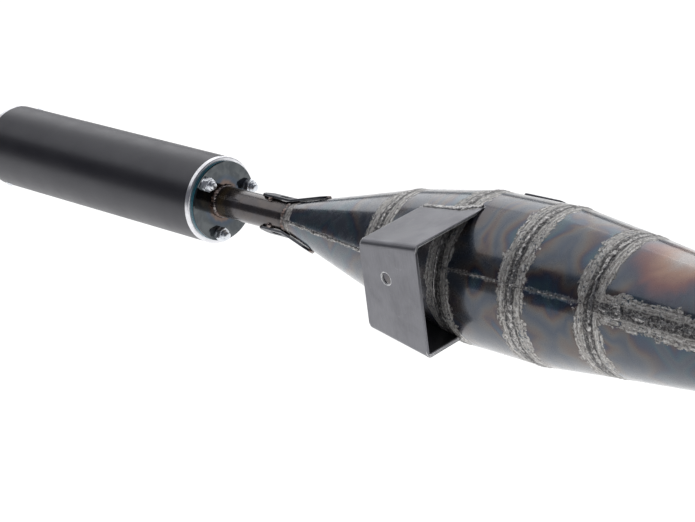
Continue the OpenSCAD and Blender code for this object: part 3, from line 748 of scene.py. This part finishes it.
def object_from(mesh, name, *materials):
    """Turns an edited mesh into an object, and lets go of the mesh."""
    data = bpy.data.meshes.new(name)
    mesh.to_mesh(data)
    mesh.free()
    made = bpy.data.objects.new(name, data)
    bpy.context.scene.collection.objects.link(made)
    for material in materials:
        data.materials.append(material)
    return made


def edged(node, name, width, material, edge_material, angle=30, clamp=True):
    """A copy of a CAD node with its sharp edges broken, in a brighter material of its own; on the
    bracket that brightness is partly a painted highlight.
    """
    mesh = bmesh.new()
    mesh.from_mesh(frame["nodes"][node].data)
    bmesh.ops.remove_doubles(mesh, verts=mesh.verts, dist=1e-6)
    bmesh.ops.dissolve_limit(
        mesh, angle_limit=math.radians(0.4), verts=mesh.verts, edges=mesh.edges
    )
    for face in mesh.faces:
        face.material_index = 0
    sharp = [
        edge
        for edge in mesh.edges
        if len(edge.link_faces) == 2 and edge.calc_face_angle(0) > math.radians(angle)
    ]
    bmesh.ops.bevel(
        mesh,
        geom=sharp,
        offset=width,
        segments=2,
        profile=0.6,
        affect="EDGES",
        material=1,
        clamp_overlap=clamp,
    )
    made = object_from(mesh, name, material, edge_material)
    finish_piece(made, (node,), 22)
    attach(made, frame["nodes"][node]["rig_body"])


# ---------- materials on the CAD nodes ----------

satin_black = sleeve_paint()
tinted = chamber_paint()
polished_ring = turned(
    "polished_ring", silencer_middle, (1, 0, 0), (0.88, 0.88, 0.91), 0.30, groove=0.003 * MM
)
zinc = plated("bright_zinc", (0.86, 0.88, 0.91), 0.3, (0.70, 0.73, 0.78))
weld_grey = weld_paint(
    "ground_weld", (0.48, 0.47, 0.46), (0.045, 0.043, 0.044), (0.085, 0.08, 0.08), 0.8
)
weld_bright = weld_paint(
    "stinger_weld", (0.34, 0.31, 0.30), (0.05, 0.042, 0.042), (0.20, 0.11, 0.08), 0.6
)
weld_bracket = weld_paint(
    "bracket_weld", (0.62, 0.61, 0.60), (0.03, 0.03, 0.032), (0.20, 0.19, 0.19), 0.5
)
tube = stinger_paint()
plate = plate_paint()
bracket_metal = plate_steel("bracket_plate", (0.200, 0.200, 0.218), (0.240, 0.240, 0.258), 2, 0.36)
strap_metal = plate_steel("strap_plate", (0.10, 0.104, 0.116), (0.16, 0.165, 0.18), 0, 0.38)
strap_edge = plated("strap_edge", (0.34, 0.34, 0.36), 0.35, (0.14, 0.14, 0.15))
cut_edge = plated("cut_edge", (0.62, 0.63, 0.66), 0.28, (0.35, 0.35, 0.37))
# Bare torch-cut edge, near white: partly the bare metal's own tone, partly a painted highlight for
# the glints along the bracket's edges
torch_cut_and_glint = plain("torch_cut_edge_and_painted_glint", (0.46, 0.46, 0.47), (0.95, 0.95, 0.96), 0.45, 0.45, 420, 0.3 * MM)
tab_metal = plate_steel("tab_plate", (0.06, 0.06, 0.07), (0.10, 0.10, 0.11), 0, 0.4)
teal = plain(
    "teal_sealing",
    (0.008, 0.12, 0.17),
    (0.02, 0.20, 0.26),
    0.3,
    **{"Coat Weight": 0.6, "Coat Roughness": 0.1},
)
core_metal = plain("core_sheet", (0.44, 0.44, 0.46), (0.52, 0.50, 0.48), 0.35, 1.0)
outlet_metal = plain("outlet_tube", (0.55, 0.54, 0.54), (0.42, 0.36, 0.30), 0.25, 1.0, 300)
wool = wool_paint()
browned = header_paint()
flange_metal = turned("machined_flange", slip_place, slip_axis, (0.60, 0.60, 0.62), 0.28)
seal_black = plain("seal_black", (0.02, 0.02, 0.022), (0.045, 0.045, 0.05), 0.6)
spring_steel = plated("spring_wire", (0.66, 0.67, 0.70), 0.24, (0.45, 0.44, 0.44))

CAD_MATERIALS = {
    "silencer_sleeve": satin_black,
    "front_bung": polished_ring,
    "tail_bung": polished_ring,
    "end_plate_gasket": teal,
    "inlet_end_plate": plate,
    "end_plate_washers": zinc,
    "tail_bung_rivets": zinc,
    "outlet_tip": outlet_metal,
    "perforated_core": core_metal,
    "fibre_packing": wool,
    "stinger_pipe": tube,
    "baffle_cone": tinted,
    "rear_cone": tinted,
    "belly": tinted,
    "front_cone": tinted,
    "diffuser": tinted,
    "header_cone": tinted,
    "header_bend": browned,
    "header_socket": browned,
    "port_flange": flange_metal,
    "seal_rings": seal_black,
}
for node, material in CAD_MATERIALS.items():
    slots = frame["nodes"][node].data.materials
    slots.clear()
    slots.append(material)


# ---------- welds ----------


def middle_line(points, count):
    """A path down the middle of a long thin solid, as evenly spaced means of its points."""
    _, axes = spread(points)
    along = points @ np.array(axes[0])
    order = np.argsort(along)
    groups = np.array_split(points[order], count)
    return [Vector(group.mean(0)) for group in groups]


def smooth_path(path, step):
    """The same path in short even steps."""
    fine = []
    for a, b in zip(path, path[1:]):
        count = max(1, round((b - a).length / step))
        fine += [a.lerp(b, i / count) for i in range(count)]
    return fine + [path[-1]]


def ring_weld_beads():
    """The ground ring welds between the chamber's sections."""
    beads = Bead()
    for number, ring in enumerate(chamber_rings):
        path, outs = circle_path(ring.centre, ring.axis, ring.radius - 0.25 * MM, 0.6 * MM)
        beads.lay(path, outs, 4.2 * MM, 0.65 * MM, closed=True, seed=number + 0.37, ragged=1.3)
    beads.piece("ring_weld_beads", weld_grey, "exhaust", "weld_metal", ("circumferential_welds",))


def stinger_weld_beads():
    """The fillet in the corner with the end plate, and the bead where the pipe meets the cone."""
    beads = Bead()
    inset = plate_ring.radius - 1.2 * MM
    path, outs = circle_path(plate_ring.centre, plate_ring.axis, inset, 0.45 * MM)
    leaned = [(out + plate_ring.axis * 0.9).normalized() for out in outs]
    beads.lay(path, leaned, 5.0 * MM, 2.6 * MM, closed=True, pitch=2.4 * MM, seed=4.1, ragged=1.5)
    inset = stinger_ring.radius - 0.3 * MM
    path, outs = circle_path(stinger_ring.centre, stinger_ring.axis, inset, 0.45 * MM)
    beads.lay(path, outs, 4.2 * MM, 1.2 * MM, closed=True, pitch=1.8 * MM, seed=5.3, ragged=1.3)
    beads.piece("stinger_weld_beads", weld_bright, "exhaust", "weld_metal", ("stinger_welds",))


# Width and height of each seam's bead in mm, from the baffle cone forwards
SEAM_SIZES = ((3.2, 0.9), (3.0, 0.8), (1.8, 0.6), (1.5, 0.55), (4.2, 0.65), (3.0, 0.8))
REPAIR_AHEAD = 17.6 * MM
REPAIR_RADIUS = 4.2 * MM


def seam_weld_beads():
    """The lengthwise seams, and a small round repair weld on the diffuser's seam."""
    beads = Bead()
    for number, (line, (width, height)) in enumerate(zip(seams, SEAM_SIZES)):
        path = line_path(line.start, line.end, 0.6 * MM)
        outs = [outward(point) for point in path]
        path = [point - out * 0.2 * MM for point, out in zip(path, outs)]
        beads.lay(path, outs, width * MM, height * MM, seed=20.0 + number, ragged=1.2)
    repair = diffuser_seam.start + diffuser_seam.axis * REPAIR_AHEAD
    out = outward(repair)
    path, _ = circle_path(repair, out, REPAIR_RADIUS, 0.5 * MM)
    outs = [out] * len(path)
    beads.lay(path, outs, 2.6 * MM, 0.75 * MM, closed=True, seed=31.0, ragged=1.2)
    beads.piece("seam_weld_beads", weld_grey, "exhaust", "weld_metal", ("seam_welds",))


def bracket_weld_beads():
    """The beads along the bracket's two flanges, leaning out from the flange and the chamber."""
    beads = Bead()
    low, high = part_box("frame_bracket")
    flange_middle = (low + high) / 2
    for number, points in enumerate(islands("bracket_welds")):
        path = smooth_path(middle_line(points, 9), 0.6 * MM)
        flange_out = Vector((0, 0, 1 if path[0].z > flange_middle.z else -1))
        outs = [(outward(point) * 0.5 + flange_out).normalized() for point in path]
        path = [point + out * 0.4 * MM for point, out in zip(path, outs)]
        beads.lay(path, outs, 4.0 * MM, 1.5 * MM, pitch=1.7 * MM, seed=40.0 + number, ragged=1.5)
    beads.piece("bracket_weld_beads", weld_bracket, "exhaust", "weld_metal", ("bracket_welds",))


def tack_weld_beads():
    """A low lump of cooled metal at each tack, with a dimple where the arc was broken off."""
    mesh = bmesh.new()
    for number, centre in enumerate(tacks):
        lump = bmesh.ops.create_icosphere(mesh, subdivisions=4, radius=1.0)
        out = outward(centre)
        shift = Vector((number * 3.1, 0.7, -number))
        for vert in lump["verts"]:
            normal = vert.co.normalized()
            lift = normal.dot(out)
            size = 2.4 * MM * (1 - 0.22 * max(0, lift) ** 2 - 0.30 * max(0, lift) ** 24)
            spot = centre + normal * size
            spot += normal * unevenness(spot + shift, 420, 0.35 * MM, 3)
            vert.co = spot
    made = object_from(mesh, "tack_weld_beads", weld_bright)
    finish_piece(made, ("gusset_tack_welds",), 60)
    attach(made, "exhaust")


ring_weld_beads()
stinger_weld_beads()
seam_weld_beads()
bracket_weld_beads()
tack_weld_beads()


# ---------- plate parts with broken edges ----------

# The bracket's broken edges take the near-white cut edge: bare metal with a painted highlight
edged(
    "frame_bracket",
    "bracket_plate",
    1.0 * MM,
    bracket_metal,
    torch_cut_and_glint,
    angle=60,
    clamp=False,
)
edged("upper_gusset_strap", "upper_strap_plate", 0.3 * MM, strap_metal, strap_edge)
edged("lower_gusset_strap", "lower_strap_plate", 0.3 * MM, strap_metal, strap_edge)
edged("side_tab", "side_tab_plate", 0.3 * MM, tab_metal, cut_edge)
edged("header_spring_lugs", "header_lug_plates", 0.25 * MM, browned, cut_edge)
edged("flange_spring_lugs", "flange_lug_plates", 0.25 * MM, flange_metal, cut_edge)
edged("end_plate_nuts", "locking_nuts", 0.25 * MM, zinc, zinc, angle=40)


# ---------- studs and springs ----------


def threaded_studs():
    """The end plate's studs: rolled threads that fade out into a domed end."""
    turns_per_mm, depth, around = 1.0, 0.34 * MM, 40
    verts, faces = [], []
    for points in islands("end_plate_studs"):
        low, high = Vector(points.min(0)), Vector(points.max(0))
        centre = (low + high) / 2
        radius = (high.y - low.y) / 2
        length = high.x - low.x
        dome = 1.0 * MM
        rings_count = round(length / (0.125 * MM))
        first = len(verts)
        for i in range(rings_count + 1):
            along = length * i / rings_count
            end = min(1.0, (length - along) / dome)
            cap = math.sqrt(max(0.02, 1 - (1 - end) ** 2))
            for j in range(around):
                angle = 2 * math.pi * j / around
                phase = (along / MM * turns_per_mm + j / around) % 1.0
                groove = depth * abs(2 * phase - 1) * min(1.0, end)
                reach = (radius - groove) * cap
                verts.append(
                    Vector(
                        (
                            high.x - along,
                            centre.y + reach * math.cos(angle),
                            centre.z + reach * math.sin(angle),
                        )
                    )
                )
        faces += grid_faces(rings_count + 1, around, close_columns=True, start=first)
        faces.append(tuple(range(first, first + around)))
        last = len(verts) - around
        faces.append(tuple(range(last + around - 1, last - 1, -1)))
    piece("threaded_studs", verts, faces, zinc, "exhaust", ("end_plate_studs",), 50)


threaded_studs()


def sweep(path, radius, sides=12):
    """Points and faces of a round wire along a path, with rounded ends."""
    verts = []
    count = len(path)
    side = None
    for i, point in enumerate(path):
        ahead = (path[min(i + 1, count - 1)] - path[max(i - 1, 0)]).normalized()
        if side is None:
            side = ahead.orthogonal().normalized()
        side = side_of(ahead, side)
        other = ahead.cross(side)
        edge = min(i, count - 1 - i)
        size = radius * (0.75 if edge == 0 else 1.0)
        for k in range(sides):
            angle = 2 * math.pi * k / sides
            verts.append(point + (side * math.cos(angle) + other * math.sin(angle)) * size)
    faces = grid_faces(count, sides, close_columns=True)
    faces.append(tuple(range(sides - 1, -1, -1)))
    last = (count - 1) * sides
    faces.append(tuple(range(last, last + sides)))
    return verts, faces


def hooked_spring(node, name):
    """A close-wound spring with a round hook at each end, through the lugs' holes."""
    points = np.concatenate(islands(node))
    centre, axes = spread(points)
    axis = axes[0] if axes[0].dot(slip_axis) > 0 else -axes[0]
    out = side_of(slip_axis, centre - slip_place)
    across = axis.cross(out)
    local = points - np.array(centre)
    half = float((local @ np.array(axis)).max())
    coil_reach = float(abs(local @ np.array(across)).max())
    wire = 0.9 * MM
    eye = 3.3 * MM
    body_half = half - 2 * eye - 2 * wire
    coil = coil_reach - wire
    turns = round(2 * body_half / (2.04 * wire))
    steps = 22
    path = []

    def spot(along, outwards, sideways):
        return centre + axis * along + out * outwards + across * sideways

    # The rear hook, then the coil, then the front hook
    hook_middle = half - wire - eye
    for i in range(25):
        angle = math.radians(215 - 255 * i / 24)
        path.append(spot(-hook_middle + eye * math.cos(angle), 0, eye * math.sin(angle)))
    for i in range(turns * steps + 1):
        angle = 2 * math.pi * i / steps
        swell = min(1.0, (i + 2) / steps, (turns * steps - i + 2) / steps)
        reach = coil * (0.35 + 0.65 * swell)
        path.append(
            spot(
                -body_half + 2 * body_half * i / (turns * steps),
                reach * math.sin(angle),
                -reach * math.cos(angle),
            )
        )
    for i in range(25):
        angle = math.radians(220 + 255 * i / 24)
        path.append(spot(hook_middle + eye * math.cos(angle), 0, eye * math.sin(angle)))
    verts, faces = sweep(path, wire)
    made = piece(name, verts, faces, spring_steel, None, (node,), 60)
    reach = axis * (half - 2 * eye)
    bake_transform(made)


hooked_spring("upper_spring", "upper_joint_spring")
hooked_spring("lower_spring", "lower_joint_spring")

# ---------- camera, light and floor ----------

VIEW_LENS = 104.0
VIEW_DISTANCE = 1.362
VIEW_ELEVATION = math.radians(26.44)
VIEW_HEADING = math.radians(-42.42)
VIEW_ROLL = math.radians(10.155)
VIEW_TARGET = Vector(mounts["frame_bolt"]["pos_m"]) + Vector((21.3, 12.4, 14.8)) * MM
look = Vector(
    (
        math.cos(VIEW_ELEVATION) * math.cos(VIEW_HEADING),
        math.cos(VIEW_ELEVATION) * math.sin(VIEW_HEADING),
        -math.sin(VIEW_ELEVATION),
    )
)
camera = bpy.data.objects.new("camera", bpy.data.cameras.new("camera"))
bpy.context.scene.collection.objects.link(camera)
camera.data.lens = VIEW_LENS
camera.data.sensor_width = 36.0
camera.location = VIEW_TARGET - look * VIEW_DISTANCE
camera.rotation_mode = "QUATERNION"
turn = Matrix.Rotation(-VIEW_ROLL, 3, -look)
camera.rotation_quaternion = (turn @ look.to_track_quat("-Z", "Y").to_matrix()).to_quaternion()
bpy.context.scene.camera = camera


def softbox(name, place, aim, size, power):
    """A soft rectangular lamp that faces a point."""
    data = bpy.data.lights.new(name, "AREA")
    data.shape = "RECTANGLE"
    data.size, data.size_y = size
    data.energy = power
    lamp = bpy.data.objects.new(name, data)
    bpy.context.scene.collection.objects.link(lamp)
    lamp.location = place
    lamp.rotation_mode = "QUATERNION"
    lamp.rotation_quaternion = (aim - place).to_track_quat("-Z", "Y")


middle = (cad_low + cad_high) / 2
softbox("overhead", middle + Vector((1.0, -0.7, 1.7)), middle, (4.8, 1.6), 26)
softbox("behind", middle + Vector((1.6, -2.4, 1.0)), middle, (5.0, 1.5), 34)

floor_mesh = bpy.data.meshes.new("floor")
FLOOR_DROP = 0.30
FLOOR_REACH = 9.0
floor_z = cad_low.z - FLOOR_DROP
signs = [(-1, -1), (1, -1), (1, 1), (-1, 1)]
corners = [(FLOOR_REACH * x, FLOOR_REACH * y, floor_z) for x, y in signs]
floor_mesh.from_pydata(corners, [], [(0, 1, 2, 3)])
floor = bpy.data.objects.new("floor", floor_mesh)
bpy.context.scene.collection.objects.link(floor)
floor_paint = Paint("pale_floor")
floor_mesh.materials.append(
    floor_paint.finish(
        (0.25, 0.25, 0.25),
        0.7,
        0.0,
        **{"Emission Color": (1, 1, 1), "Emission Strength": 0.93},
    )
)

world = bpy.data.worlds.new("studio")
bpy.context.scene.world = world
world.use_nodes = True
background = world.node_tree.nodes["Background"]
background.inputs["Color"].default_value = (0.08, 0.084, 0.10, 1)
bpy.context.scene.view_settings.view_transform = "Standard"
